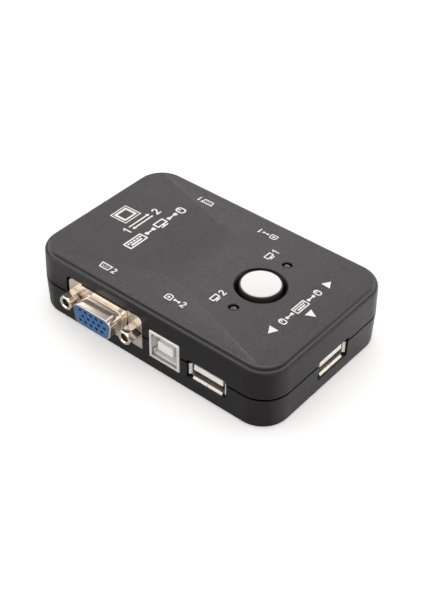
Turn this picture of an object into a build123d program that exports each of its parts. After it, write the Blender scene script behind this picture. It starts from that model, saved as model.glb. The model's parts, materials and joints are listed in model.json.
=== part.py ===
from build123d import *
import math
import os

os.makedirs("parts", exist_ok=True)

# Two-computer keyboard / video / mouse switch box.
# Frame: origin at the centre of the flat underside, +X towards the end with the single
# USB socket, -Y towards the long side that serves the second computer, +Z up.
# All sizes are in millimetres.

# ---------------------------------------------------------------- driving dimensions
CASE_L, CASE_W = 96.0, 61.0      # outer size at the parting line
CORNER_R = 9.8                   # plan radius of the four corners
RIM_Z = 23.0                     # height of the top edge, before the low crown
PART_Z = 11.6                    # height of the parting line
PART_GAP = 0.60                  # shadow gap between the two shells
TOP_TAPER, BASE_TAPER = 1.5, 2.0     # moulding draft of the two shells, degrees
TOP_EDGE_R, BASE_EDGE_R = 2.2, 1.0
CROWN_H = 0.95                   # rise of the top panel's ridge above the edge
CROWN_X = -2.0                   # where the ridge runs across the box
CROWN_HALF = 45.0                # half length of the raised panel
CROWN_SOFT = 6.5                 # half width of the softened ridge
FLANK_Y = 27.7                   # where the sloping flanks meet the edge
FLANK_SLOPE = 0.069              # rise per mm of the flanks beside the arched panel
INNER_L, INNER_W, INNER_R = 91.8, 56.8, 7.7      # cavity plan
FLOOR_Z, CEILING_Z = 2.0, 21.2   # inside floor and ceiling
LIP_T, LIP_H = 1.0, 1.4          # locating lip of the lower shell
LIP_CLEARANCE = 0.12             # room round the lip in the upper shell

BOSS_X, BOSS_Y, BOSS_R = 40.0, 22.5, 3.0
PILOT_R, SCREW_R, SCREW_HEAD_R, COUNTERBORE_R = 1.30, 1.25, 2.5, 2.9

PCB_TOP, PCB_T = 5.5, 1.6        # upper face and thickness of the circuit board
PCB_BASE = PCB_TOP - PCB_T
PCB_L, PCB_W, PCB_R = 91.0, 56.0, 7.3

FLANGE_RECESS = 0.3              # D connector flange face, inside the case face
VGA_X = -16.5                    # both long-side D connectors
VGA_END_Y = 0.5                  # D connector on the short end
USB_B_X = 8.15
USB_B_PROUD = 0.2                # USB-B face, outside the case face
USB_A_X = 24.6
USB_A_END_Y = 1.2
USB_A_RECESS = 0.6               # USB-A lip, inside the case face

BUTTON_X, BUTTON_Y = 20.3, 0.4
BUTTON_R, BUTTON_BORE_R, BUTTON_MOUTH_R = 6.75, 7.10, 8.33
LED_Y = 13.2                     # lamps either side of the button
LED_HOLE_R = 1.60

SIDES = (-1, 1)
CORNERS = [(sx, sy) for sx in SIDES for sy in SIDES]


# ---------------------------------------------------------------- helpers
def box(x0, x1, y0, y1, z0, z1):
    """Box between two limits on each axis, given in either order."""
    centre = Pos((x0 + x1) / 2, (y0 + y1) / 2, (z0 + z1) / 2)
    return centre * Box(abs(x1 - x0), abs(y1 - y0), abs(z1 - z0))


def cyl(x, y, z0, z1, r):
    return Pos(x, y, (z0 + z1) / 2) * Cylinder(r, z1 - z0)


def cyl_y(x, z, y0, y1, r):
    return Pos(x, (y0 + y1) / 2, z) * Rot(90, 0, 0) * Cylinder(r, y1 - y0)


def cone(x, y, z, r_low, r_high, height):
    return Pos(x, y, z) * Solid.make_cone(r_low, r_high, height)


def cone_y(x, y, z, r_start, r_end, length):
    """Cone that runs from y towards +Y."""
    return Pos(x, y, z) * Rot(-90, 0, 0) * Solid.make_cone(r_start, r_end, length)


def outline(points):
    return make_face(Polyline(*points, close=True))


def prism_x(sketch, x0, x1):
    """Sketch drawn in Y-Z, extruded from x0 to x1."""
    return extrude(Plane((x0, 0, 0), x_dir=(0, 1, 0), z_dir=(1, 0, 0)) * sketch, amount=x1 - x0)


def prism_y(sketch, y0, y1):
    """Sketch drawn in X-Z, extruded from y0 to y1."""
    return extrude(Plane((0, y1, 0), x_dir=(1, 0, 0), z_dir=(0, -1, 0)) * sketch, amount=y1 - y0)


def plan(l, w, r, z0, z1, taper=0.0):
    return extrude(Pos(0, 0, z0) * RectangleRounded(l, w, r), amount=z1 - z0, taper=taper)


def circles(shape, axis):
    return shape.edges().filter_by(GeomType.CIRCLE).sort_by(axis)


def largest(shape):
    return shape.solids().sort_by(SortBy.VOLUME)[-1]


def group(items):
    """Separate solids kept together as one part."""
    solids = []
    for item in items:
        solids.extend(item.solids())
    return Compound(children=solids) if len(solids) > 1 else solids[0]


def save(shape, name):
    export_step(shape, os.path.join("parts", name + ".step"))


# ---------------------------------------------------------------- connector seats
# Connectors are modelled with the mating face looking to -Y and z = 0 on the board's
# upper face; a seat turns them about Z, then moves them to their place.
def seat(x, y, turn):
    return Pos(x, y, PCB_TOP) * Rot(0, 0, turn)


vga_y = CASE_W / 2 - FLANGE_RECESS
usb_b_y = CASE_W / 2 + USB_B_PROUD
usb_a_y = CASE_W / 2 - USB_A_RECESS
VGA_SEATS = {
    "vga_pc2": seat(VGA_X, -vga_y, 0),
    "vga_pc1": seat(VGA_X, vga_y, 180),
    "vga_monitor": seat(-(CASE_L / 2 - FLANGE_RECESS), VGA_END_Y, -90),
}
USB_B_SEATS = {
    "usb_b_pc2": seat(USB_B_X, -usb_b_y, 0),
    "usb_b_pc1": seat(USB_B_X, usb_b_y, 180),
}
USB_A_SEATS = {
    "usb_a_front": seat(USB_A_X, -usb_a_y, 0),
    "usb_a_back": seat(USB_A_X, usb_a_y, 180),
    "usb_a_end": seat(CASE_L / 2 - USB_A_RECESS, USB_A_END_Y, 90),
}

board_holes = []        # (x, y, radius) in the box frame, filled as the parts are placed


def save_seated(seats, pieces, holes):
    """Save a connector's pieces at every seat and record its board holes."""
    for name, place in seats.items():
        for suffix, items in pieces.items():
            save(group([place * item for item in items]), f"{name}_{suffix}")
        for x, y, r in holes:
            spot = (place * Pos(x, y, 0)).position
            board_holes.append((spot.X, spot.Y, r))


# ---------------------------------------------------------------- case shells
# height of the ridged panel's top at the button
MOUTH_Z = RIM_Z + CROWN_H * (1 - (BUTTON_X - CROWN_X) / CROWN_HALF)


def cut_openings(shell):
    """Cut the connector openings, each drawn in its connector's frame."""
    vga = box(-16.3, 15.75, -2, 4, 0.15, 12.95)
    vga = fillet(vga.edges().filter_by(Axis.Y).sort_by(Axis.Z)[-2:], 1.6)
    usb_b = fillet(box(-6.35, 6.35, -2, 4, -0.3, 10.9).edges().filter_by(Axis.Y), 0.5)
    usb_a = fillet(box(-7.6, 7.6, -2, 4, -0.2, 7.4).edges().filter_by(Axis.Y), 0.4)
    for seats, opening in ((VGA_SEATS, vga), (USB_B_SEATS, usb_b), (USB_A_SEATS, usb_a)):
        for place in seats.values():
            shell = shell - place * opening
    return shell


def crown():
    """Low ridged panel with two sloping flanks, set in from the rim all round."""
    gable = outline([
        (-FLANK_Y, RIM_Z - 0.8), (-FLANK_Y, RIM_Z), (0, RIM_Z + FLANK_SLOPE * FLANK_Y),
        (FLANK_Y, RIM_Z), (FLANK_Y, RIM_Z - 0.8),
    ])
    gable = prism_x(gable, -46, 46)
    soft_drop = CROWN_H / CROWN_HALF * CROWN_SOFT
    soft_z = RIM_Z + CROWN_H - soft_drop
    start, end = CROWN_X - CROWN_HALF, CROWN_X + CROWN_HALF
    soft_start, soft_end = CROWN_X - CROWN_SOFT, CROWN_X + CROWN_SOFT
    arch = (
        Line((start, RIM_Z), (soft_start, soft_z))
        + ThreePointArc(
            (soft_start, soft_z), (CROWN_X, RIM_Z + CROWN_H - soft_drop / 2), (soft_end, soft_z)
        )
        + Polyline(
            (soft_end, soft_z), (end, RIM_Z), (end, RIM_Z - 2), (start, RIM_Z - 2), (start, RIM_Z)
        )
    )
    arch = prism_y(make_face(arch), -40, 40)
    border = plan(CASE_L - 6.0, 2 * FLANK_Y - 0.02, 7.2, RIM_Z - 0.7, RIM_Z + 3)
    return (gable & border) & arch


def top_case():
    shell = plan(CASE_L, CASE_W, CORNER_R, PART_Z + PART_GAP / 2, RIM_Z, TOP_TAPER)
    shell = fillet(shell.faces().sort_by(Axis.Z)[-1].edges(), TOP_EDGE_R)
    shell = shell + crown()
    shell = shell - plan(INNER_L, INNER_W, INNER_R, PART_Z - 5, CEILING_Z)
    # rebate that takes the lower shell's lip
    rebate = LIP_T + LIP_CLEARANCE
    shell = shell - plan(
        INNER_L + 2 * rebate, INNER_W + 2 * rebate, INNER_R + rebate,
        PART_Z - 1, PART_Z + LIP_H + 0.2,
    )

    # screw bosses, down to the board, each with a web to the ceiling and end wall
    for sx, sy in CORNERS:
        x, y = sx * BOSS_X, sy * BOSS_Y
        shell = shell + cyl(x, y, PCB_TOP, CEILING_Z + 0.5, BOSS_R)
        shell = shell + box(x, sx * 45.6, y - 0.6, y + 0.6, 14.0, CEILING_Z + 0.5)
        shell = shell - cyl(x, y, PCB_TOP - 1, 17.0, PILOT_R)
    # stiffening ribs on the ceiling
    shell = shell + box(-36, 8, -0.6, 0.6, 19.6, CEILING_Z + 0.3)
    shell = shell + box(-6.6, -5.4, -24, 24, 19.9, CEILING_Z + 0.3)

    # button well: guide collar inside, chamfered mouth outside
    shell = shell + cyl(BUTTON_X, BUTTON_Y, 19.5, CEILING_Z + 0.5, 8.9)
    shell = shell - cyl(BUTTON_X, BUTTON_Y, 15.0, 30.0, BUTTON_BORE_R)
    shell = shell - cone(
        BUTTON_X, BUTTON_Y, MOUTH_Z - 1.2, BUTTON_BORE_R, BUTTON_MOUTH_R + 0.52, 1.7
    )
    # indicator holes, each with a stepped collar inside
    collar_r, collar_bore_r = 2.9, 2.05
    for sy in SIDES:
        x, y = BUTTON_X, BUTTON_Y + sy * LED_Y
        shell = shell - cyl(x, y, 15, 30, LED_HOLE_R)
        shell = shell - cone(x, y, MOUTH_Z - 0.25, LED_HOLE_R, LED_HOLE_R + 0.42, 0.6)
        collar = cyl(x, y, 18.6, CEILING_Z + 0.3, collar_r)
        collar = collar - cyl(x, y, 18.0, CEILING_Z + 1, collar_bore_r)
        step = cyl(x, y, 20.6, CEILING_Z + 0.3, collar_r)
        step = step - cyl(x, y, 18.0, CEILING_Z + 1, LED_HOLE_R)
        shell = shell + (collar + step)
    return largest(cut_openings(shell))


def bottom_case():
    # built downwards from the parting line so the draft narrows the foot
    top_z = PART_Z - PART_GAP / 2
    shell = extrude(
        Plane((0, 0, top_z), x_dir=(1, 0, 0), z_dir=(0, 0, -1))
        * RectangleRounded(CASE_L, CASE_W, CORNER_R),
        amount=top_z,
        taper=BASE_TAPER,
    )
    shell = fillet(shell.faces().sort_by(Axis.Z)[0].edges(), BASE_EDGE_R)
    shell = shell - plan(INNER_L, INNER_W, INNER_R, FLOOR_Z, PART_Z + 5)
    lip = plan(
        INNER_L + 2 * LIP_T, INNER_W + 2 * LIP_T, INNER_R + LIP_T, PART_Z - 2, PART_Z + LIP_H
    )
    lip = lip - plan(INNER_L, INNER_W, INNER_R, PART_Z - 4, PART_Z + 5)
    shell = shell + lip
    # screw posts with counterbores from below
    for sx, sy in CORNERS:
        x, y = sx * BOSS_X, sy * BOSS_Y
        shell = shell + cyl(x, y, FLOOR_Z - 0.5, PCB_BASE, 4.2)
        shell = shell - cyl(x, y, -1, 2.0, COUNTERBORE_R)
        shell = shell - cyl(x, y, 1, 10, 1.5)
    # board rests
    for x, y in ((-6, -2), (-6, 14.5), (30, 0), (2, -3), (14, 8)):
        shell = shell + cyl(x, y, FLOOR_Z - 0.5, PCB_BASE, 1.5)
    # floor ribs: centre x, centre y is 0, half length, half width
    for x, half_x, half_y in ((0, 43, 0.5), (-22, 0.5, 10), (35, 0.5, 10)):
        shell = shell + box(
            x - half_x, x + half_x, -half_y, half_y, FLOOR_Z - 0.3, FLOOR_Z + 0.6
        )
    return largest(cut_openings(shell))


save(top_case(), "top_case")
save(bottom_case(), "bottom_case")


# ---------------------------------------------------------------- case screws
def case_screw(x, y):
    """Cross-head screw, head down, with a pointed tip."""
    tip_z = 13.2
    slot_l, slot_w, slot_h = 2.9, 0.6, 1.4
    screw = cyl(x, y, 0.35, 2.0, SCREW_HEAD_R)
    screw = fillet(circles(screw, Axis.Z)[0:1], 0.6)
    screw = screw + cyl(x, y, 1.9, tip_z, SCREW_R)
    screw = screw + cone(x, y, tip_z, SCREW_R, 0.3, 1.0)
    screw = screw - Pos(x, y, 0.6) * Box(slot_w, slot_l, slot_h)
    return screw - Pos(x, y, 0.6) * Box(slot_l, slot_w, slot_h)


save(group([case_screw(sx * BOSS_X, sy * BOSS_Y) for sx, sy in CORNERS]), "case_screws")

# ---------------------------------------------------------------- 15-way D connector
VGA_C = 6.55                     # connector centre above the board
FLANGE_HALF_W, FLANGE_HALF_H = 15.4, 6.15
JACK_X = 24.99 / 2               # half the jackscrew pitch
LOCK_Y = 3.8                     # peg of the board lock
PIN_PITCH, ROW_PITCH = 2.29, 1.98
FIRST_PIN_X = -5.15
CONTACT_R = 0.50
TAIL_Y = (15.4, 13.2, 11.0)      # board tails of the top, middle and bottom rows

# (x, z, tail y) of each contact; the middle row is offset by half a pitch
VGA_PINS = [
    (
        FIRST_PIN_X + i * PIN_PITCH + (PIN_PITCH / 2 if row == 1 else 0),
        VGA_C + (1 - row) * ROW_PITCH,
        TAIL_Y[row],
    )
    for row in range(3)
    for i in range(5)
]


def d_sketch(w, h, r):
    """D outline, wide side up, with ends sloping 10 degrees."""
    inset = math.tan(math.radians(10)) * h
    face = outline([
        (-w / 2, h / 2), (w / 2, h / 2), (w / 2 - inset, -h / 2), (-w / 2 + inset, -h / 2)
    ])
    return Pos(0, VGA_C) * fillet(face.vertices(), r)


def vga_shell():
    plate = outline([
        (-FLANGE_HALF_W, -FLANGE_HALF_H), (FLANGE_HALF_W, -FLANGE_HALF_H),
        (FLANGE_HALF_W, FLANGE_HALF_H), (-FLANGE_HALF_W, FLANGE_HALF_H),
    ])
    plate = fillet(plate.vertices().sort_by(Axis.Y)[-2:], 1.9)
    plate = fillet(plate.vertices().sort_by(Axis.Y)[0:2], 0.35)
    flange = prism_y(Pos(0, VGA_C) * plate, 0.0, 0.5)
    # raised middle of the flange, with the D tube standing on it
    raise_h = 0.55
    middle = box(-9.6, 9.6, -raise_h, 0.0, VGA_C - FLANGE_HALF_H, VGA_C + FLANGE_HALF_H)
    middle = fillet(middle.edges().filter_by(Axis.Z).sort_by(Axis.Y)[0:2], 0.45)
    tube = prism_y(d_sketch(16.7, 7.9, 2.5), -5.95, 0.2)
    tube = fillet(tube.faces().sort_by(Axis.Y)[0].edges(), 0.35)
    body = middle + tube
    root = [
        edge
        for edge in body.edges()
        if abs(edge.center().Y + raise_h) < 1e-3
        and abs(edge.center().X) < 8.6
        and abs(edge.center().Z - VGA_C) < 4.2
    ]
    # guards the fillet round the tube's root: if it cannot be made, the root stays sharp
    try:
        body = fillet(root, 0.4)
    except Exception:
        pass
    shell = flange + body
    shell = shell - prism_y(d_sketch(15.86, 7.1, 2.1), -7, 1)
    # hollow behind the raised middle
    shell = shell - box(-9.1, 9.1, -0.06, 1, VGA_C - 5.6, VGA_C + 5.6)
    for sx in SIDES:
        shell = shell - cyl_y(sx * JACK_X, VGA_C, -1, 1.5, 1.6)
    return shell


def vga_contact(x, z, tail_y):
    """Hollow-nosed contact with a tail bent down through the board."""
    contact = cyl_y(x, z, -3.5, 9.4, CONTACT_R)
    contact = contact + box(x - 0.3, x + 0.3, 9.2, tail_y + 0.3, z - 0.25, z + 0.25)
    contact = contact + box(x - 0.3, x + 0.3, tail_y - 0.3, tail_y + 0.3, -2.9, z + 0.25)
    return contact - cyl_y(x, z, -6, -0.2, 0.38)


def vga_insulator():
    nose_y, entry_r = -5.85, 0.62
    block = prism_y(d_sketch(15.80, 7.04, 2.07), nose_y, 0.8)
    block = block + box(-8.95, 8.95, 0.1, 0.8, VGA_C - 5.45, VGA_C + 5.45)
    block = block + box(-9.2, 9.2, 0.54, 9.4, 0.2, 12.3)
    # two feet down to the board
    block = block + box(-8.6, -6.6, 3.0, 9.4, 0.0, 1.0) + box(6.6, 8.6, 3.0, 9.4, 0.0, 1.0)
    for x, z, _ in VGA_PINS:
        block = block - cyl_y(x, z, -6, 10, CONTACT_R)
        block = block - cyl_y(x, z, -6, -3.5, entry_r)
        block = block - cone_y(x, nose_y, z, 0.74, entry_r, 0.14)
    return block


def jackscrew(x):
    """Hexagonal head with a blind bore, and a plain shank behind it."""
    head_l, bore_r = 5.0, 1.42
    head = RegularPolygon(2.4, 6, major_radius=False)
    head = prism_y(Pos(x, VGA_C) * head, -head_l, 0.0)
    trim = cyl_y(x, VGA_C, -head_l, 0.0, 2.78)
    trim = chamfer(circles(trim, Axis.Y)[0:1], 0.55)
    screw = head & trim
    screw = screw + cyl_y(x, VGA_C, -0.1, 4.6, 1.20)
    screw = screw - cyl_y(x, VGA_C, -head_l - 0.1, -0.5, bore_r)
    return screw - cone_y(x, -head_l, VGA_C, 1.75, bore_r, 0.3)


def board_lock(x):
    """L bracket behind the flange, with a hexagonal nut and a split peg into the board."""
    lock = box(x - 2.4, x + 2.4, 0.5, 1.7, 0.5, VGA_C + 3.2)
    lock = lock + box(x - 2.4, x + 2.4, 0.5, 5.2, 0.5, 1.3)
    lock = lock + box(x - 0.4, x + 0.4, 2.9, 4.7, 0.0, 1.0)
    lock = lock + cyl(x, LOCK_Y, -2.7, 0.8, 1.15)
    nut = RegularPolygon(2.3, 6, major_radius=False)
    lock = lock + prism_y(Pos(x, VGA_C) * nut, 1.7, 3.4)
    lock = lock - cyl_y(x, VGA_C, 0, 6, 1.22)
    return lock - box(x - 0.25, x + 0.25, 2.4, 5.2, -3, -0.3)


save_seated(
    VGA_SEATS,
    {
        "shell": [vga_shell()],
        "insulator": [vga_insulator()],
        "contacts": [vga_contact(*pin) for pin in VGA_PINS],
        "jackscrews": [jackscrew(sx * JACK_X) for sx in SIDES],
        "board_locks": [board_lock(sx * JACK_X) for sx in SIDES],
    },
    [(x, tail_y, 0.55) for x, _, tail_y in VGA_PINS]
    + [(sx * JACK_X, LOCK_Y, 1.5) for sx in SIDES],
)

# ---------------------------------------------------------------- USB-B socket
B_HALF_W, B_H, B_DEPTH = 12.04 / 2, 10.6, 16.0
B_WALL = 0.4
B_FIT = 0.04                     # clearance between insulator and shell
B_PIN_X = 1.25
B_TONGUE_Z = 5.55
# front opening of the shell, (x, z)
B_MOUTH = [(-5.08, 0.95), (5.08, 0.95), (5.08, 9.15), (4.58, 9.65), (-4.58, 9.65), (-5.08, 9.15)]
# plug cavity of the insulator, (x, z)
B_CAVITY = [(-4.82, 1.55), (4.82, 1.55), (4.82, 7.45), (3.07, 9.3), (-3.07, 9.3), (-4.82, 7.45)]
# side spring on the +X wall, (x, y)
B_LEAF = [(5.70, 1.0), (5.70, 6.0), (5.56, 6.0), (5.06, 3.9), (5.06, 3.1), (5.56, 1.0)]
# upper and lower contacts: strip bottom z, strip top z, strip end y, tail y
B_CONTACT_ROWS = [
    (B_TONGUE_Z + 1.35, B_TONGUE_Z + 1.65, 12.5, 12.5),
    (B_TONGUE_Z - 1.65, B_TONGUE_Z - 1.35, 10.6, 10.5),
]


def usb_b_shell():
    shell = box(-B_HALF_W, B_HALF_W, 0, B_DEPTH, 0, B_H)
    shell = fillet(shell.edges().filter_by(Axis.Y).sort_by(Axis.Z)[-2:], 0.5)
    shell = chamfer(shell.faces().sort_by(Axis.Y)[0].edges(), 0.18)
    inner = B_HALF_W - B_WALL
    shell = shell - box(-inner, inner, B_WALL, B_DEPTH - B_WALL, -1, B_H - B_WALL)
    shell = shell - prism_y(outline(B_MOUTH), -1, 1)
    # legs into the board
    for sx in SIDES:
        shell = shell + box(sx * B_HALF_W, sx * inner, 6.0, 8.0, -2.6, 0.3)
    # a side spring in each wall, a tongue of the sheet bent inwards between two slits
    for sx in SIDES:
        leaf = outline([(sx * x, y) for x, y in B_LEAF])
        shell = shell + extrude(Pos(0, 0, 3.1) * leaf, amount=4.4)
        for z in (2.85, 7.5):
            shell = shell - box(sx * 5.0, sx * 6.3, 0.95, 6.05, z, z + 0.25)
    return shell


def usb_b_contacts():
    contacts = []
    for sx in SIDES:
        x = sx * B_PIN_X
        for z_low, z_high, strip_end, tail_y in B_CONTACT_ROWS:
            strip = box(x - 0.5, x + 0.5, 2.3, strip_end, z_low, z_high)
            tail = box(x - 0.3, x + 0.3, tail_y - 0.3, tail_y + 0.3, -2.8, z_high)
            contacts.append(strip + tail)
    return contacts


def usb_b_insulator(contacts):
    inset = B_WALL + B_FIT
    half = B_HALF_W - inset
    block = box(-half, half, 1.15, B_DEPTH - inset, 0.02, B_H - inset)
    block = block - prism_y(outline(B_CAVITY), -1, 9.6)
    # room for the side springs
    for sx in SIDES:
        block = block - box(sx * 4.6, sx * 5.7, 0, 6.6, 2.6, 8.0)
    tongue = box(-3.0, 3.0, 0.70, 10.0, B_TONGUE_Z - 1.6, B_TONGUE_Z + 1.6)
    tongue = fillet(tongue.edges().filter_by(Axis.Y), 0.3)
    tongue = fillet(tongue.faces().sort_by(Axis.Y)[0].edges(), 0.15)
    block = block + tongue
    for contact in contacts:
        block = block - contact
    return largest(block)


b_contacts = usb_b_contacts()
b_holes = []
for sx in SIDES:
    b_holes += [(sx * B_PIN_X, row[3], 0.5) for row in B_CONTACT_ROWS]
    b_holes.append((sx * (B_HALF_W - B_WALL / 2), 7.0, 1.15))
save_seated(
    USB_B_SEATS,
    {
        "shell": [usb_b_shell()],
        "insulator": [usb_b_insulator(b_contacts)],
        "contacts": b_contacts,
    },
    b_holes,
)

# ---------------------------------------------------------------- USB-A socket
A_HALF_W, A_HALF_H, A_WALL = 6.55, 2.85, 0.3     # steel tube
A_C = 3.6                        # opening centre above the board
A_FIT = 0.03                     # clearance between insulator and tube
# x and front end y of each contact; the outer two reach further forward
A_CONTACTS = [(-3.5, 1.25), (-1.0, 2.6), (1.0, 2.6), (3.5, 1.25)]


def usb_a_shell():
    w, h = A_HALF_W, A_HALF_H
    inner_w, inner_h = w - A_WALL, h - A_WALL
    tube = fillet(box(-w, w, 0.9, 14.0, A_C - h, A_C + h).edges().filter_by(Axis.Y), 0.45)
    bore = box(-inner_w, inner_w, 0, 13.7, A_C - inner_h, A_C + inner_h)
    shell = tube - fillet(bore.edges().filter_by(Axis.Y), 0.2)
    # flared lips: upper and lower in (y, z), then the two sides in (x, y)
    for side in (1, -1):
        z = A_C + side * h
        z_in = z - side * A_WALL
        lip = outline([
            (1.1, z), (1.1, z_in), (0.55, z_in), (0.0, z + side * 0.22),
            (0.0, z + side * 0.56), (0.18, z + side * 0.54), (0.68, z),
        ])
        shell = shell + prism_x(lip, -5.6, 5.6)
    for sx in SIDES:
        lip = outline([
            (sx * w, 1.1), (sx * inner_w, 1.1), (sx * inner_w, 0.60), (sx * (w + 0.22), 0.0),
            (sx * (w + 0.58), 0.0), (sx * (w + 0.54), 0.20), (sx * w, 0.78),
        ])
        shell = shell + extrude(Pos(0, 0, A_C) * lip, amount=2.1, both=True)
    # seam along the underside of the folded sheet
    floor_low, floor_high = A_C - h, A_C - inner_h + 0.05
    shell = shell - box(-0.06, 0.06, -1, 9.0, floor_low - 1.0, floor_high)
    # two leaf springs in the floor and two in the roof, each between two slits
    for side in SIDES:
        z_out, z_in = A_C + side * h, A_C + side * inner_h
        leaf = outline([
            (2.2, z_in), (3.2, z_in - side * 0.42), (4.4, z_in - side * 0.42),
            (8.6, z_in), (8.6, z_in + side * 0.1), (2.2, z_in + side * 0.1),
        ])
        for x in (-3.3, 3.3):
            shell = shell + prism_x(leaf, x - 0.9, x + 0.9)
            for slit_x in (x - 1.15, x + 1.15):
                shell = shell - box(
                    slit_x - 0.12, slit_x + 0.12, 2.0, 8.6, z_out - 0.5, z_out + 0.5
                )
    # legs into the board, and short feet that stand on it
    for sx in SIDES:
        shell = shell + box(sx * w, sx * inner_w, 6.2, 8.2, -2.6, A_C)
        shell = shell + box(sx * w, sx * inner_w, 11.0, 12.4, 0.0, A_C)
    # slots in the floor for the contact tails
    for x, _ in A_CONTACTS:
        shell = shell - box(x - 0.5, x + 0.5, 12.2, 13.2, floor_low - 0.5, floor_high)
    return shell


def usb_a_contact(x, y):
    contact = box(x - 0.5, x + 0.5, y, 13.0, A_C - 0.10, A_C + 0.16)
    contact = contact + box(x - 0.3, x + 0.3, 12.4, 13.0, -2.8, A_C + 0.16)
    # sprung bump that touches the plug
    bump = outline([
        (y, A_C + 0.1), (y + 0.1, A_C - 0.75), (y + 0.8, A_C - 1.05),
        (y + 3.0, A_C - 0.05), (y + 3.0, A_C + 0.1),
    ])
    return contact + prism_x(bump, x - 0.5, x + 0.5)


def usb_a_insulator(contacts):
    half_w = A_HALF_W - A_WALL - A_FIT
    half_h = A_HALF_H - A_WALL - A_FIT
    block = box(-half_w, half_w, 10.2, 13.65, A_C - half_h, A_C + half_h)
    block = fillet(block.edges().filter_by(Axis.Y), 0.3)
    tongue = box(-5.55, 5.55, 0.45, 11.0, A_C - 0.02, A_C + 2.05)
    tongue = fillet(tongue.edges().filter_by(Axis.Y), 0.25)
    tongue = fillet(tongue.faces().sort_by(Axis.Y)[0].edges(), 0.15)
    block = block + tongue
    for contact in contacts:
        block = block - contact
    return largest(block)


a_contacts = [usb_a_contact(x, y) for x, y in A_CONTACTS]
save_seated(
    USB_A_SEATS,
    {
        "shell": [usb_a_shell()],
        "insulator": [usb_a_insulator(a_contacts)],
        "contacts": a_contacts,
    },
    [(x, 12.7, 0.5) for x, _ in A_CONTACTS]
    + [(sx * (A_HALF_W - A_WALL / 2), 7.2, 1.15) for sx in SIDES],
)

# ---------------------------------------------------------------- selector button
bx, by = BUTTON_X, BUTTON_Y      # shared axis of the button and its switch


def button_body():
    body = cyl(bx, by, 19.2, 24.10, BUTTON_R)
    body = fillet(circles(body, Axis.Z)[-1:], 0.22)
    body = body + cyl(bx, by, 18.2, 19.3, 8.2)       # retaining flange
    body = body - cyl(bx, by, 18.0, 21.55, 5.5)
    body = body + cyl(bx, by, 16.8, 21.85, 2.6)      # hub over the plunger
    for i in range(3):
        body = body + Pos(bx, by, 19.95) * Rot(0, 0, i * 120) * Pos(4.0, 0, 0) * Box(3.4, 0.8, 3.5)
    body = body - box(bx - 1.52, bx + 1.52, by - 1.52, by + 1.52, 16.0, 20.0)
    # recess and peg hole for the cap
    body = body - cyl(bx, by, 22.85, 26, 6.30)
    return body - cyl(bx, by, 21.25, 26, 0.8)


def button_cap():
    """Shallow dome with a peg below."""
    cap_r, cap_z, dome_h = 6.27, 24.87, 0.5
    dome_r = (cap_r ** 2 + dome_h ** 2) / (2 * dome_h)
    dome = Pos(bx, by, cap_z - dome_r) * Rot(90, 0, 0) * Sphere(dome_r)
    cap = cyl(bx, by, 22.87, cap_z + 1, cap_r) & dome
    dome_edges = [
        edge
        for edge in cap.edges().filter_by(GeomType.CIRCLE)
        if abs(edge.center().Z - (cap_z - dome_h)) < 0.02
    ]
    cap = fillet(dome_edges[0:1], 0.28)
    return cap + cyl(bx, by, 21.65, 23.05, 0.75)


save(button_body(), "button_body")
save(button_cap(), "button_cap")

# ---------------------------------------------------------------- switch under the button
SWITCH_TOP = 14.6
SPRING_BASE, SPRING_TOP = PCB_TOP + 1.4, 11.9    # switch floor and plunger underside


def square(half, z0, z1):
    """Square block on the button axis."""
    return box(bx - half, bx + half, by - half, by + half, z0, z1)


def switch_terminals():
    terminals = []
    for sx in SIDES:
        for offset_y in (-2.0, 0.0, 2.0):
            x, y = bx + sx * 2.61, by + offset_y
            terminals.append(box(x - 0.11, x + 0.11, y - 0.35, y + 0.35, 2.6, 9.6))
            board_holes.append((x, y, 0.6))
    return terminals


def switch_housing(terminals):
    housing = square(4.25, PCB_TOP + 0.3, SWITCH_TOP)
    housing = chamfer(housing.edges().filter_by(Axis.Z), 0.4)
    for sx, sy in CORNERS:
        housing = housing + cyl(bx + sx * 3.2, by + sy * 3.2, PCB_TOP, PCB_TOP + 0.6, 0.6)
    housing = housing - square(2.75, SPRING_BASE, SWITCH_TOP - 1.0)
    housing = housing - square(1.58, SWITCH_TOP - 1.5, SWITCH_TOP + 1)
    for terminal in terminals:
        housing = housing - terminal
    return housing


def switch_plunger():
    plunger = square(1.5, 12.6, 19.7)
    plunger = chamfer(plunger.faces().sort_by(Axis.Z)[-1].edges(), 0.3)
    plunger = plunger + square(2.6, SPRING_TOP, 13.4)
    return plunger + cyl(bx, by, 11.0, 12.2, 0.85)


def switch_wiper(x):
    """Small channel, open downwards, with a tab on top."""
    wiper = box(x - 0.35, x + 0.35, by - 1.0, by + 1.0, 10.9, 11.85)
    wiper = wiper - box(x - 0.2, x + 0.2, by - 1.2, by + 1.2, 10.5, 11.6)
    return wiper + box(x - 0.15, x + 0.15, by - 0.5, by + 0.5, 11.8, 11.9)


def switch_spring():
    coil_r, wire_r, turns = 1.35, 0.17, 6
    start_z = SPRING_BASE + wire_r
    height = SPRING_TOP - wire_r - start_z
    path = Pos(bx, by, start_z) * Helix(pitch=height / turns, height=height, radius=coil_r)
    return sweep(Plane(path @ 0, z_dir=path % 0) * Circle(wire_r), path=path)


terminals = switch_terminals()
save(switch_housing(terminals), "switch_housing")
save(group(terminals), "switch_terminals")
save(switch_plunger(), "switch_plunger")
save(group([switch_wiper(bx + sx * 2.1) for sx in SIDES]), "switch_wipers")
save(switch_spring(), "switch_spring")

# ---------------------------------------------------------------- indicator lamps
LED_R, LED_TOP, LED_BASE = 1.45, 23.35, 17.6
LEAD_Y = 1.27                    # leads either side of the lamp's axis


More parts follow.
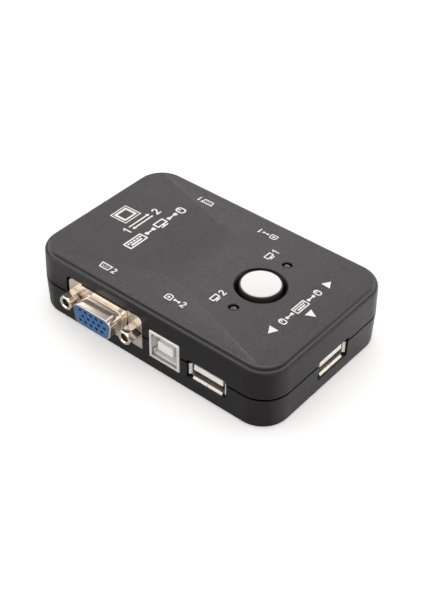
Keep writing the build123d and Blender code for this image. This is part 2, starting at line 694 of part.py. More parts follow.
def led_leads(x, y):
    """Two leads with plates inside the lamp: a cup towards -Y, a post towards +Y."""
    leads = []
    for k in SIDES:
        lead_y, plate_y = y + k * LEAD_Y, y + k * 0.75
        lead = box(x - 0.25, x + 0.25, lead_y - 0.25, lead_y + 0.25, 2.6, 17.8)
        lead = lead + box(x - 0.25, x + 0.25, plate_y - 0.55, plate_y + 0.55, 17.75, 18.3)
        if k < 0:
            lead = lead + cyl(x, y - 0.5, 18.2, 20.4, 0.42)
        else:
            lead = lead + box(x - 0.2, x + 0.2, y + 0.45, y + 0.85, 18.2, 20.2)
        leads.append(lead)
        board_holes.append((x, lead_y, 0.55))
    return leads


def led_lamp(x, y, leads):
    dome_z = LED_TOP - LED_R
    lamp = cyl(x, y, LED_BASE, dome_z, LED_R)
    lamp = lamp + (Pos(x, y, dome_z) * Sphere(LED_R) & cyl(x, y, dome_z - 0.05, LED_TOP + 1, 1.6))
    lamp = lamp + cyl(x, y, LED_BASE, 18.5, 1.9)
    for lead in leads:
        lamp = lamp - lead
    return largest(lamp)


all_leads = []
for name, sy in (("led_pc1", 1), ("led_pc2", -1)):
    y = BUTTON_Y + sy * LED_Y
    leads = led_leads(BUTTON_X, y)
    save(led_lamp(BUTTON_X, y, leads), name)
    all_leads.extend(leads)
save(group(all_leads), "led_leads")


# ---------------------------------------------------------------- circuit board
def circuit_board():
    board = plan(PCB_L, PCB_W, PCB_R, PCB_BASE, PCB_TOP)
    drilled = board_holes + [(sx * BOSS_X, sy * BOSS_Y, 1.6) for sx, sy in CORNERS]
    holes = Sketch() + [Pos(x, y) * Circle(r) for x, y, r in drilled]
    board = board - extrude(Pos(0, 0, PCB_BASE - 1) * holes, amount=PCB_T + 2)
    return board.solids()[0]


save(circuit_board(), "circuit_board")

# ---------------------------------------------------------------- board components
# x, y, length, width, height, leads per side, lead pitch
CHIPS = {
    "video_switch_chips": [
        (-18, -5.5, 9.9, 3.9, 1.4, 8, 1.1),
        (-18, 5.5, 9.9, 3.9, 1.4, 8, 1.1),
    ],
    "usb_switch_chip": [(4.5, 4.5, 9.9, 3.9, 1.4, 8, 1.1)],
    "usb_hub_chip": [(4.5, -4.5, 10.2, 5.3, 1.6, 12, 0.8)],
}


def chip(x, y, l, w, h):
    """Chip body with a round dimple at its -X, -Y corner."""
    top_z = PCB_TOP + 0.1 + h
    body = Pos(x, y, top_z - h / 2) * Box(l, w, h)
    body = chamfer(body.faces().sort_by(Axis.Z)[-1].edges(), 0.15)
    return body - Pos(x - l / 2 + 0.9, y - w / 2 + 0.9, top_z) * Cylinder(0.35, 0.2)


def chip_leads(x, y, w, count, pitch):
    return [
        Pos(x + (k - (count - 1) / 2) * pitch, y + sy * (w / 2 + 0.55), PCB_TOP + 0.14)
        * Box(0.3, 1.06, 0.16)
        for k in range(count)
        for sy in SIDES
    ]


def can(x, y):
    body = cyl(x, y, PCB_TOP + 0.02, PCB_TOP + 7.0, 2.5)
    return fillet(circles(body, Axis.Z)[-1:], 0.35)


leads = []
for name, rows in CHIPS.items():
    save(group([chip(*row[:5]) for row in rows]), name)
    for x, y, _, w, _, count, pitch in rows:
        leads += chip_leads(x, y, w, count, pitch)
save(group(leads), "chip_leads")

crystal = box(-6.6, -2.2, -5.5, 5.5, PCB_TOP + 0.02, PCB_TOP + 3.4)
save(fillet(crystal.edges().filter_by(Axis.Z), 1.9), "crystal")
cans = [can(x, y) for x, y in ((-28.0, 3.0), (11.5, -11.5), (11.5, 12.0))]
save(group(cans), "electrolytic_capacitors")

# a row of seven along X and a column of five along Y, of each kind
CAP_Z, RES_Z = PCB_TOP + 0.45, PCB_TOP + 0.3
capacitors = [Pos(-24.5 + k * 2.2, 9.9, CAP_Z) * Box(1.2, 0.8, 0.8) for k in range(7)]
capacitors += [Pos(-10.0, -11.0 + k * 5.2, CAP_Z) * Box(0.8, 1.2, 0.8) for k in range(5)]
resistors = [Pos(-24.5 + k * 2.2, -9.6, RES_Z) * Box(1.6, 0.8, 0.5) for k in range(7)]
# the resistor column has a gap after its third
resistors += [
    Pos(29.3, -12.0 + k * 2.0 + (9 if k > 2 else 0), RES_Z) * Box(1.6, 0.8, 0.5)
    for k in range(5)
]
save(group(capacitors), "chip_capacitors")
save(group(resistors), "chip_resistors")
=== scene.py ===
"""Black switch box with a round push button, video and USB sockets and white printed icons.

The box lies with its length along X and its printed panel facing +Z.  The camera looks
down on it from +X and -Y.  Lengths are in millimetres and are scaled by MM when used.
"""
import bpy
import bmesh
import json
import math
from mathutils import Matrix, Vector
from mathutils.bvhtree import BVHTree
from mathutils.geometry import delaunay_2d_cdt


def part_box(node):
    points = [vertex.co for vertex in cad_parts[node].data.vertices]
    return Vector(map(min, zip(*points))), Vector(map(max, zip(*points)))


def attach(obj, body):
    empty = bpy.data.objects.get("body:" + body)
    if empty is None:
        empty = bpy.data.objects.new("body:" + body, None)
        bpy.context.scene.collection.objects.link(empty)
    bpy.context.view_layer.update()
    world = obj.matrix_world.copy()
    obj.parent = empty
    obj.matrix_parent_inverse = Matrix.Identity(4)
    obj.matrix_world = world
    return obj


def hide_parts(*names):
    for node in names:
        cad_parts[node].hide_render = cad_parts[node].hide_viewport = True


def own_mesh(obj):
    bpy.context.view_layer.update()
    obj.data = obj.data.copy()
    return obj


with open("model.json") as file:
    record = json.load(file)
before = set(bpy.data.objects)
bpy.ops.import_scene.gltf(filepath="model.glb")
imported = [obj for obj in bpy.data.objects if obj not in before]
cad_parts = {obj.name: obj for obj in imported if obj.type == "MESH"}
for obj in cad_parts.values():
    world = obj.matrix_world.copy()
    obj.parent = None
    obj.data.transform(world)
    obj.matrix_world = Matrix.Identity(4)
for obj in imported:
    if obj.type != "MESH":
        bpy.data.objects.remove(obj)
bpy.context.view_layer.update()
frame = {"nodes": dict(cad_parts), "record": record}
nodes = frame["nodes"]
scene = bpy.context.scene
MM = 0.001

SEAM_Z = 11.6                             # height of the case's parting line
BUTTON = (20.3, 0.4)                      # x, y of the button's axis
CASE_PANEL_LIT = (0.0480, 0.0443, 0.0470)     # colour of faces that look up: lighter partly for the coarse grain, partly painted light
CASE_WALL_SHADED = (0.0085, 0.0079, 0.0084)      # colour of the walls, darker than the panel as painted shade


# ------------------------------------------------------------------ node helpers
def feed(tree, socket, value):
    """Links a socket to an input, or stores a plain value in it."""
    if isinstance(value, bpy.types.NodeSocket):
        tree.links.new(value, socket)
    else:
        socket.default_value = value


def add_node(tree, kind, inputs=None, **props):
    node = tree.nodes.new(kind)
    for prop, value in props.items():
        setattr(node, prop, value)
    for key, value in (inputs or {}).items():
        feed(tree, node.inputs[key], value)
    return node


def scaled(color, gain):
    return tuple(min(1.0, channel * gain) for channel in color)


class Shader:
    """A material with one Principled surface; the methods add nodes and return sockets."""

    def __init__(self, name):
        self.material = bpy.data.materials.new(name)
        self.material.use_nodes = True
        self.tree = self.material.node_tree
        self.tree.nodes.clear()
        output = self.node("ShaderNodeOutputMaterial")
        self.principled = self.node("ShaderNodeBsdfPrincipled")
        feed(self.tree, output.inputs[0], self.principled.outputs[0])
        self.coords = self.node("ShaderNodeTexCoord").outputs["Object"]

    def node(self, kind, inputs=None, **props):
        return add_node(self.tree, kind, inputs, **props)

    def surface(self, **values):
        """Sets Principled inputs; an underscore stands for a space."""
        for key, value in values.items():
            feed(self.tree, self.principled.inputs[key.replace("_", " ")], value)

    def noise(self, scale, detail=3.0, rough=0.55, stretch=None, seed=0.0):
        coords = self.coords
        if stretch:
            mapping = self.node("ShaderNodeMapping", {0: coords, "Scale": stretch})
            coords = mapping.outputs[0]
        inputs = {"Scale": scale, "Detail": detail, "Roughness": rough, "W": seed,
                  "Vector": coords}
        return self.node("ShaderNodeTexNoise", inputs, noise_dimensions="4D").outputs[0]

    def remap(self, value, span, to=(0.0, 1.0)):
        """Maps the range span to the range to, clamped."""
        inputs = dict(enumerate((value, *span, *to)))
        return self.node("ShaderNodeMapRange", inputs, clamp=True).outputs[0]

    def math(self, operation, a, b=0.0):
        return self.node("ShaderNodeMath", {0: a, 1: b}, operation=operation).outputs[0]

    def multiply(self, a, b):
        return self.math("MULTIPLY", a, b)

    def mix(self, factor, a, b):
        """Colour a at factor 0, colour b at factor 1."""
        a, b = (c if isinstance(c, bpy.types.NodeSocket) else (*c, 1.0) for c in (a, b))
        return self.node("ShaderNodeMix", {0: factor, 6: a, 7: b}, data_type="RGBA").outputs[2]

    def blend(self, factor, a, b):
        """Number a at factor 0, number b at factor 1."""
        return self.node("ShaderNodeMix", {0: factor, 2: a, 3: b}, data_type="FLOAT").outputs[0]

    def bump(self, height, depth, normal, strength=1.0):
        inputs = {"Distance": depth * MM, "Strength": strength, "Height": height,
                  "Normal": normal}
        return self.node("ShaderNodeBump", inputs).outputs[0]

    def separate(self, vector):
        return self.node("ShaderNodeSeparateXYZ", {0: vector}).outputs

    def hollow(self, reach, span):
        """1 deep in corners and cavities, 0 on open faces."""
        shade = self.node("ShaderNodeAmbientOcclusion", {"Distance": reach * MM}, samples=8)
        return self.remap(shade.outputs["AO"], span=span, to=(1.0, 0.0))

    def bevel(self, radius):
        return self.node("ShaderNodeBevel", {"Radius": radius * MM}, samples=6).outputs[0]

    def soft_edge(self, radius):
        """Rounded-edge normal, a mask that is 1 along edges, and the geometry node."""
        rounded = self.bevel(radius)
        geometry = self.node("ShaderNodeNewGeometry")
        dot = self.node("ShaderNodeVectorMath", {0: rounded, 1: geometry.outputs["Normal"]},
                        operation="DOT_PRODUCT")
        mask = self.remap(dot.outputs["Value"], span=(0.80, 0.985), to=(1.0, 0.0))
        return rounded, mask, geometry


# ------------------------------------------------------------------ materials
def plastic(name, base, rough, grain, depth, drift=0.10, edge=1.35, edge_radius=0.18,
            sss=0.0, cavity_shade=0.0, reach=1.6, seed=0.0):
    """Moulded plastic: tonal drift, fine grain, roughness drift, lighter rubbed edges, painted
    corner shade.

    grain and depth are the width and height of the tool grain, drift the tonal variation,
    edge the gain along edges, cavity_shade the strength of the painted shade in corners
    narrower than reach.
    """
    mat = Shader(name)
    rounded, edges, _ = mat.soft_edge(edge_radius)
    tone = mat.noise(55.0, seed=seed)
    speck = mat.noise(1000.0 / grain, detail=2.0, rough=0.6, seed=seed + 3.1)
    color = mat.mix(mat.remap(tone, span=(0.3, 0.7)),
                    scaled(base, 1 - drift), scaled(base, 1 + drift))
    color = mat.mix(mat.remap(speck, span=(0.35, 0.75), to=(0.0, 0.35)),
                    color, scaled(base, 1 + 2.0 * drift))
    patches = mat.remap(mat.noise(420.0, seed=seed + 7.7), span=(0.35, 0.65), to=(0.15, 0.9))
    wear = mat.multiply(edges, patches)
    color = mat.mix(wear, color, scaled(base, edge))
    # painted shade: corners and cavities darken towards 0.12 of the base colour
    if cavity_shade:
        shade = mat.multiply(mat.hollow(reach, span=(0.20, 0.88)), cavity_shade)
        color = mat.mix(shade, color, scaled(base, 0.12))
    matt = mat.remap(mat.noise(160.0, detail=4.0, seed=seed + 1.3), span=(0.25, 0.75),
                     to=(rough - 0.06, rough + 0.06))
    mat.surface(Base_Color=color,
                Roughness=mat.math("SUBTRACT", matt, mat.multiply(wear, 0.10)),
                Normal=mat.bump(speck, depth, rounded))
    if sss:
        mat.surface(Subsurface_Weight=sss, Subsurface_Radius=(0.0012, 0.0011, 0.001),
                    Subsurface_Scale=1.0)
    return mat.material


def metal(name, base, rough, scratch=(1, 1, 1), tarnish=(0.45, 0.36, 0.25), tarnish_amount=0.25,
          edge_radius=0.16, corner_shade=0.85, reach=3.0, metallic=1.0, shade_up=0.0, seed=0.0):
    """Plated or turned metal: faint tarnish, drawn scratches, bright edges, painted corner
    shade.

    scratch stretches the scratches along the axes, corner_shade the painted shade in corners
    narrower than reach, shade_up paints shade on faces that look up: the tarnish colour at that
    gain.
    """
    mat = Shader(name)
    rounded, edges, geometry = mat.soft_edge(edge_radius)
    blotch = mat.noise(230.0, detail=4.0, rough=0.6, seed=seed)
    line = mat.noise(2600.0, rough=0.6, stretch=scratch, seed=seed + 2.0)
    color = mat.mix(mat.remap(blotch, span=(0.45, 0.75), to=(0.0, tarnish_amount)),
                    base, tarnish)
    color = mat.mix(mat.remap(line, span=(0.3, 0.7), to=(0.0, 0.25)), color, scaled(base, 0.86))
    color = mat.mix(mat.multiply(edges, 0.7), color, scaled(base, 1.12))
    # painted shade: faces that look up take the tarnish colour at the shade_up gain
    if shade_up:
        normal = mat.separate(geometry.outputs["Normal"])
        color = mat.mix(mat.remap(normal[2], span=(0.15, 0.55)), color,
                        scaled(tarnish, shade_up))
    # painted shade: corners and recesses narrower than reach turn dark brown, patchy with the
    # blotches
    corner_shade_mask = mat.multiply(mat.hollow(reach, span=(0.22, 0.84)),
                        mat.remap(blotch, span=(0.3, 0.7), to=(corner_shade * 0.8, corner_shade)))
    color = mat.mix(corner_shade_mask, color, (0.060, 0.042, 0.030))
    matt = mat.math("ADD",
                    mat.remap(blotch, span=(0.3, 0.8), to=(rough - 0.04, rough + 0.10)),
                    mat.remap(line, span=(0.3, 0.7), to=(-0.03, 0.05)))
    mat.surface(Base_Color=color, Metallic=metallic, Roughness=matt,
                Normal=mat.bump(line, 0.004, rounded, strength=0.7))
    return mat.material


def case_facet_light(mat, normal, position, panel):
    """Painted light and shade: a brightness gain for each facet of the case, as each takes a
    slightly different sheen.
    """
    x, y, z = position
    # painted light: the two halves of the arched panel differ in brightness
    right_half = mat.remap(x, span=(6 * MM, 44 * MM), to=(0.93, 0.80))
    halves = mat.blend(mat.remap(normal[0], span=(-0.014, 0.014)), 0.76, right_half)
    # painted light: its flanks, which lean to -Y (near) and to +Y (far), brighten or darken
    # along x
    near = mat.multiply(mat.remap(x, span=(-26 * MM, 2 * MM), to=(0.80, 1.0)),
                        mat.remap(x, span=(2 * MM, 40 * MM), to=(1.0, 1.20)))
    far = mat.remap(x, span=(-30 * MM, 30 * MM), to=(0.90, 0.80))
    sides = mat.blend(mat.remap(normal[1], span=(-0.02, 0.02)), near, far)
    flank = mat.remap(mat.math("ABSOLUTE", normal[1]), span=(0.030, 0.060))
    # the upper part of the -Y wall catches the light towards its -X end
    front = mat.multiply(mat.remap(normal[1], span=(-0.92, -0.80), to=(1.0, 0.0)),
                         mat.remap(z, span=(12 * MM, 17 * MM)))
    wall = mat.blend(front, 1.0, mat.remap(x, span=(-46 * MM, -6 * MM), to=(2.5, 1.0)))
    facet_light = mat.blend(panel, wall, mat.blend(flank, halves, sides))
    # painted shade: the chamfer of the button's well is a darker band
    dx = mat.math("SUBTRACT", x, BUTTON[0] * MM)
    dy = mat.math("SUBTRACT", y, BUTTON[1] * MM)
    squares = mat.math("ADD", mat.multiply(dx, dx), mat.multiply(dy, dy))
    from_axis = mat.math("SQRT", squares)
    well = mat.multiply(mat.remap(from_axis, span=(8.36 * MM, 8.46 * MM), to=(1.0, 0.0)),
                        mat.remap(z, span=(20.0 * MM, 20.5 * MM)))
    return mat.multiply(facet_light, mat.remap(well, span=(0.0, 1.0), to=(1.0, 0.30)))


def case_plastic(name):
    """Black moulding: coarse grain on the panel, smoother satin on the walls and rim, with
    painted light and shade.
    """
    mat = Shader(name)
    rounded, edges, geometry = mat.soft_edge(0.20)
    normal = mat.separate(geometry.outputs["Normal"])
    panel = mat.remap(normal[2], span=(0.93, 0.992))

    def by_face(wall, top):
        return mat.remap(panel, span=(0, 1), to=(wall, top))

    # the panel is lighter than the walls: partly its coarse grain, partly painted light on the
    # panel and painted shade on the walls
    color = mat.mix(panel, CASE_WALL_SHADED, CASE_PANEL_LIT)
    drift = mat.noise(30.0)
    grain = mat.noise(1750.0, detail=2.0, rough=0.60, seed=1.0)
    fine = mat.noise(4200.0, detail=2.0, seed=2.0)
    pits = mat.node("ShaderNodeTexVoronoi", {"Scale": 2400.0, "Vector": mat.coords},
                    feature="F1").outputs[0]
    position = mat.separate(geometry.outputs["Position"])
    facet_light = case_facet_light(mat, normal, position, panel)

    # tonal drift times the painted light and shade of the facets, and speckle, stronger on the
    # panel
    tone = mat.multiply(mat.remap(drift, span=(0.32, 0.68), to=(0.95, 1.05)), facet_light)
    speckle = mat.math("ADD", mat.multiply(grain, 0.6), mat.multiply(fine, 0.4))
    spot = mat.remap(speckle, span=(0.36, 0.64))
    dark = by_face(0.88, 0.58)
    light = by_face(1.12, 1.52)
    gain = mat.multiply(tone, mat.remap(spot, span=(0.0, 1.0), to=(dark, light)))
    color = mat.node("ShaderNodeVectorMath", {0: color, "Scale": gain},
                     operation="SCALE").outputs[0]
    # sparse dust on the panel, and worn edges
    dust = mat.remap(mat.noise(1300.0, detail=1.0, rough=0.4, seed=9.0),
                     span=(0.775, 0.80), to=(0.0, 0.30))
    color = mat.mix(mat.multiply(dust, panel), color, (0.30, 0.30, 0.31))
    patches = mat.remap(mat.noise(300.0, detail=4.0, seed=5.0),
                        span=(0.35, 0.65), to=(0.05, 0.55))
    wear = mat.multiply(edges, patches)
    color = mat.mix(wear, color, (0.060, 0.057, 0.056))
    # painted shadow: the parting line is a deep narrow gap, and a band round its height is
    # painted near black
    away = mat.math("ABSOLUTE", mat.math("SUBTRACT", position[2], SEAM_Z * MM))
    seam_shadow = mat.remap(away, span=(0.32 * MM, 0.39 * MM), to=(1.0, 0.0))
    color = mat.mix(seam_shadow, color, (0.0015, 0.0015, 0.0015))

    # specular: lowest on walls along the length, highest on faces that look up
    wall_spec = mat.remap(mat.math("ABSOLUTE", normal[0]), span=(0.75, 0.98), to=(0.25, 0.50))
    spec = mat.remap(normal[2], span=(0.10, 0.42), to=(wall_spec, 0.58))
    spec = mat.multiply(mat.multiply(spec, facet_light),
                        mat.remap(seam_shadow, span=(0.0, 1.0), to=(1.0, 0.1)))
    rough_panel = mat.remap(mat.noise(120.0, detail=4.0, seed=4.0),
                            span=(0.3, 0.7), to=(0.50, 0.58))
    rough_wall = mat.remap(mat.noise(90.0, detail=4.0, seed=6.0),
                           span=(0.3, 0.7), to=(0.24, 0.32))
    rough = mat.blend(panel, rough_wall, rough_panel)
    relief = mat.math("ADD", grain, mat.multiply(pits, 0.6))
    bumped = mat.bump(relief, 0.060, rounded, strength=by_face(0.06, 0.95))
    bumped = mat.bump(fine, 0.012, bumped, strength=by_face(0.25, 0.5))
    mat.surface(Base_Color=color, Specular_IOR_Level=spec, Specular_Tint=(1.0, 0.95, 1.0, 1.0),
                Roughness=mat.math("SUBTRACT", rough, mat.multiply(wear, 0.05)),
                Normal=bumped)
    return mat.material


def clear_resin(name):
    """Slightly hazy transparent plastic."""
    mat = Shader(name)
    rounded = mat.bevel(0.10)
    haze = mat.noise(900.0, seed=4.0)
    color = mat.mix(mat.remap(haze, span=(0.3, 0.7)), (0.86, 0.89, 0.90), (0.97, 0.98, 0.98))
    mat.surface(Base_Color=color, Transmission_Weight=0.92, IOR=1.5,
                Roughness=mat.remap(haze, span=(0.3, 0.7), to=(0.06, 0.16)),
                Normal=mat.bump(haze, 0.004, rounded, strength=0.5))
    return mat.material


def laminate(name):
    """Green circuit board with a woven texture and pale cut edges."""
    mat = Shader(name)
    rounded, edges, _ = mat.soft_edge(0.12)
    weave = mat.node("ShaderNodeTexBrick", {
        "Scale": 900.0, "Mortar Size": 0.03, "Color1": (0.016, 0.120, 0.050, 1),
        "Color2": (0.020, 0.150, 0.062, 1), "Mortar": (0.030, 0.170, 0.075, 1),
        "Vector": mat.coords})
    color = mat.mix(mat.remap(mat.noise(70.0), span=(0.3, 0.7), to=(0.0, 0.4)),
                    weave.outputs["Color"], (0.010, 0.080, 0.034))
    color = mat.mix(mat.multiply(edges, 0.8), color, (0.42, 0.40, 0.22))
    matt = mat.remap(mat.noise(300.0, seed=2.0), span=(0.3, 0.7), to=(0.24, 0.36))
    mat.surface(Base_Color=color, Roughness=matt,
                Normal=mat.bump(weave.outputs["Fac"], 0.01, rounded, strength=0.5))
    return mat.material


# name, recipe, settings of the recipe
LOOKS = [
    ("case_plastic", case_plastic, {}),
    ("screw_steel", metal, dict(base=(0.42, 0.41, 0.40), rough=0.30, seed=1)),
    ("board_laminate", laminate, {}),
    ("chip_epoxy", plastic, dict(
        base=(0.020, 0.020, 0.021), rough=0.55, grain=0.12, depth=0.010, seed=2)),
    ("tinned_metal", metal, dict(
        base=(0.74, 0.73, 0.71), rough=0.28, tarnish=(0.5, 0.5, 0.5), seed=3)),
    ("crystal_can", metal, dict(
        base=(0.72, 0.71, 0.69), rough=0.22, scratch=(1, 8, 1), seed=4)),
    ("capacitor_sleeve", plastic, dict(
        base=(0.015, 0.022, 0.075), rough=0.25, grain=0.3, depth=0.004, seed=5)),
    ("chip_ceramic", plastic, dict(
        base=(0.36, 0.25, 0.14), rough=0.45, grain=0.1, depth=0.006, seed=6)),
    ("resistor_film", plastic, dict(
        base=(0.022, 0.022, 0.026), rough=0.35, grain=0.1, depth=0.006, seed=7)),
    ("button_white", plastic, dict(
        base=(0.80, 0.80, 0.792), rough=0.36, grain=0.35, depth=0.0015, drift=0.008,
        edge=1.03, edge_radius=0.2, sss=0.10, seed=8)),
    ("button_dark", plastic, dict(
        base=(0.020, 0.020, 0.014), rough=0.42, grain=0.2, depth=0.008, seed=9)),
    ("switch_plastic", plastic, dict(
        base=(0.030, 0.030, 0.030), rough=0.5, grain=0.15, depth=0.01, seed=10)),
    ("plunger_plastic", plastic, dict(
        base=(0.62, 0.61, 0.56), rough=0.45, grain=0.2, depth=0.006, drift=0.05,
        edge=1.1, seed=11)),
    ("spring_metal", metal, dict(
        base=(0.66, 0.62, 0.55), rough=0.26, scratch=(1, 1, 6), seed=12)),
    ("clear_resin", clear_resin, {}),
    ("vga_blue_plastic", plastic, dict(
        base=(0.042, 0.135, 0.320), rough=0.34, grain=0.22, depth=0.006, drift=0.08,
        edge=1.25, edge_radius=0.12, cavity_shade=0.95, reach=1.2, seed=13)),
    ("contact_gold", metal, dict(
        base=(0.86, 0.66, 0.34), rough=0.24, tarnish=(0.50, 0.32, 0.14), seed=14)),
    ("nickel_hardware", metal, dict(
        base=(0.84, 0.755, 0.665), rough=0.15, tarnish=(0.60, 0.47, 0.34),
        edge_radius=0.08, corner_shade=0.12, seed=15)),
    ("nickel_shell", metal, dict(
        base=(0.84, 0.755, 0.665), rough=0.10, scratch=(3, 1, 3), tarnish=(0.66, 0.52, 0.38),
        tarnish_amount=0.28, edge_radius=0.08, metallic=0.88, seed=16)),
    ("tin_plate", metal, dict(
        base=(0.93, 0.885, 0.845), rough=0.33, scratch=(1, 3, 3), tarnish=(0.70, 0.62, 0.54),
        tarnish_amount=0.2, edge_radius=0.05, corner_shade=0.68, reach=2.4, metallic=0.55, seed=20)),
    ("usb_cream_plastic", plastic, dict(
        base=(0.88, 0.86, 0.825), rough=0.38, grain=0.25, depth=0.005, drift=0.03,
        edge=1.06, edge_radius=0.12, sss=0.06, cavity_shade=0.35, seed=21)),
    ("nickel_pale", metal, dict(
        base=(0.95, 0.90, 0.84), rough=0.26, scratch=(1, 3, 3), tarnish=(0.66, 0.605, 0.53),
        tarnish_amount=0.2, edge_radius=0.05, corner_shade=0.97, reach=4.5, metallic=0.58,
        shade_up=0.97, seed=19)),
    ("usb_white_plastic", plastic, dict(
        base=(0.86, 0.855, 0.84), rough=0.36, grain=0.25, depth=0.005, drift=0.03,
        edge=1.08, edge_radius=0.12, sss=0.06, cavity_shade=0.5, seed=17)),
    ("print_ink", plastic, dict(
        base=(0.80, 0.80, 0.80), rough=0.50, grain=0.14, depth=0.006, drift=0.06,
        edge=1.0, edge_radius=0.04, seed=18)),
]
materials = {name: recipe(name, **look) for name, recipe, look in LOOKS}
slot_of = {part["node"]: part["material_slot"] for part in frame["record"]["subparts"]}

# ------------------------------------------------------------------ smooth shading by modifier
SMOOTH_ANGLE = 24     # degrees; sharper edges stay crisp
CREASE_ANGLE = 2.0    # degrees; limit for the panel's shallow creases
PANEL_CREASE_Z = 23.004


def smooth_group(crease_above=None):
    """Smooths edges below SMOOTH_ANGLE; creases above a height stay crisp too."""
    group = bpy.data.node_groups.new("smooth_%d" % SMOOTH_ANGLE, "GeometryNodeTree")
    for direction in ("INPUT", "OUTPUT"):
        group.interface.new_socket("Geometry", in_out=direction,
                                   socket_type="NodeSocketGeometry")

    def node(kind, inputs=None, **props):
        return add_node(group, kind, inputs, **props)

    def above(value, limit):
        return node("FunctionNodeCompare", {0: value, 1: limit},
                    data_type="FLOAT", operation="GREATER_THAN").outputs[0]

    def logic(operation, a, b):
        return node("FunctionNodeBooleanMath", {0: a, 1: b}, operation=operation).outputs[0]

    source = node("NodeGroupInput")
    weld = node("GeometryNodeMergeByDistance", {0: source.outputs[0], "Distance": 2e-6})
    angle = node("GeometryNodeInputMeshEdgeAngle").outputs[0]
    sharp = above(angle, math.radians(SMOOTH_ANGLE))
    if crease_above is not None:
        crease = above(angle, math.radians(CREASE_ANGLE))
        position = node("GeometryNodeInputPosition")
        height = node("ShaderNodeSeparateXYZ", {0: position.outputs[0]}).outputs[2]
        high = above(height, crease_above * MM)
        sharp = logic("OR", sharp, logic("AND", crease, high))
    faces = node("GeometryNodeSetShadeSmooth", {0: weld.outputs[0]}, domain="FACE")
    edges = node("GeometryNodeSetShadeSmooth",
                 {0: faces.outputs[0], "Selection": sharp, "Shade Smooth": False},
                 domain="EDGE")
    node("NodeGroupOutput", {0: edges.outputs[0]})
    return group


def look_of(name):
    """USB shells and the type A insulators differ from the rest of their slot."""
    if name.startswith("usb_") and name.endswith("_shell"):
        return "tin_plate" if name.startswith("usb_b") else "nickel_pale"
    if name.startswith("usb_a") and name.endswith("_insulator"):
        return "usb_cream_plastic"
    return slot_of[name]


smooth = smooth_group()
smooth_panel = smooth_group(crease_above=PANEL_CREASE_Z)
for name, part in nodes.items():
    part.data.materials.clear()
    part.data.materials.append(materials[look_of(name)])
    modifier = part.modifiers.new("smooth", "NODES")
    modifier.node_group = smooth_panel if name == "top_case" else smooth


def add_object(name, data):
    obj = bpy.data.objects.new(name, data)
    scene.collection.objects.link(obj)
    return obj


def mesh_object(name, bm, material):
    mesh = bpy.data.meshes.new(name)
    bm.to_mesh(mesh)
    bm.free()
    mesh.materials.append(material)
    return add_object(name, mesh)


# ------------------------------------------------------------------ return spring
WIRE_RADIUS = 0.16
SPRING_TURNS = 4.5
SPRING_STEPS = 220
WIRE_SIDES = 10


def return_spring():
    """A coil in place of the CAD spring."""
    low, high = (Vector(v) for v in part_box("switch_spring"))
    seat_z, head_z = low.z / MM, high.z / MM
    axis_x, axis_y = (low.x + high.x) / 2 / MM, (low.y + high.y) / 2 / MM
    coil_radius = (high.x - low.x) / 2 / MM - WIRE_RADIUS
    bm = bmesh.new()
    rings = []
    for k in range(SPRING_STEPS + 1):
        f = k / SPRING_STEPS
        # closed end turns, open turns between them
        rise = 3 * f * f - 2 * f * f * f
        z = seat_z + WIRE_RADIUS + (head_z - seat_z - 2 * WIRE_RADIUS) * rise
        turn = 2 * math.pi * SPRING_TURNS * f
        center = Vector((axis_x + coil_radius * math.cos(turn),
                         axis_y + coil_radius * math.sin(turn), z))
        out = Vector((math.cos(turn), math.sin(turn), 0))
        ring = []
        for j in range(WIRE_SIDES):
            side = 2 * math.pi * j / WIRE_SIDES
            point = (center + out * WIRE_RADIUS * math.cos(side)
                     + Vector((0, 0, 1)) * WIRE_RADIUS * math.sin(side))
            ring.append(bm.verts.new(point * MM))
        rings.append(ring)
    for a, b in zip(rings, rings[1:]):
        for j in range(WIRE_SIDES):
            after = (j + 1) % WIRE_SIDES
            bm.faces.new((a[j], a[after], b[after], b[j]))
    bm.faces.new(rings[0][::-1])
    bm.faces.new(rings[-1])
    bmesh.ops.recalc_face_normals(bm, faces=bm.faces)
    for face in bm.faces:
        face.smooth = len(face.verts) == 4
    spring = mesh_object("return_spring", bm, materials["spring_metal"])
    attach(spring, "case")
    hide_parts("switch_spring")
    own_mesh(spring)


return_spring()

# ------------------------------------------------------------------ outlines for the print
GAP = 0.02    # keeps neighbouring loops of one mark from touching


def arc(x, y, radius, start, end, steps):
    points = []
    for k in range(steps + 1):
        angle = math.radians(start + (end - start) * k / steps)
        points.append((x + radius * math.cos(angle), y + radius * math.sin(angle)))
    return points


def rect(x0, y0, x1, y1, radius=0.0):
    if radius <= 0:
        return [(x0, y0), (x1, y0), (x1, y1), (x0, y1)]
    left, right, low, high = x0 + radius, x1 - radius, y0 + radius, y1 - radius
    corners = ((right, low, -90), (right, high, 0), (left, high, 90), (left, low, 180))
    return [p for x, y, start in corners for p in arc(x, y, radius, start, start + 90, 5)]


def rect_frame(x0, y0, x1, y1, pen, radius, inner_radius=0.0):
    inner = rect(x0 + pen, y0 + pen, x1 - pen, y1 - pen, inner_radius)
    return [rect(x0, y0, x1, y1, radius), inner[::-1]]


def thick_line(points, pen):
    """Polyline of width pen as one closed loop, mitred."""
    left, right = [], []
    last = len(points) - 1
    for k in range(last + 1):
        point = Vector(points[k])
        before = (point - Vector(points[k - 1])).normalized() if k > 0 else None
        after = (Vector(points[k + 1]) - point).normalized() if k < last else None
        before = before or after
        after = after or before
        along = (before + after).normalized()
        across = Vector((-along.y, along.x))
        reach = pen / 2 / max(0.45, across.dot(Vector((-before.y, before.x))))
        left.append(tuple(point + across * reach))
        right.append(tuple(point - across * reach))
    return left + right[::-1]


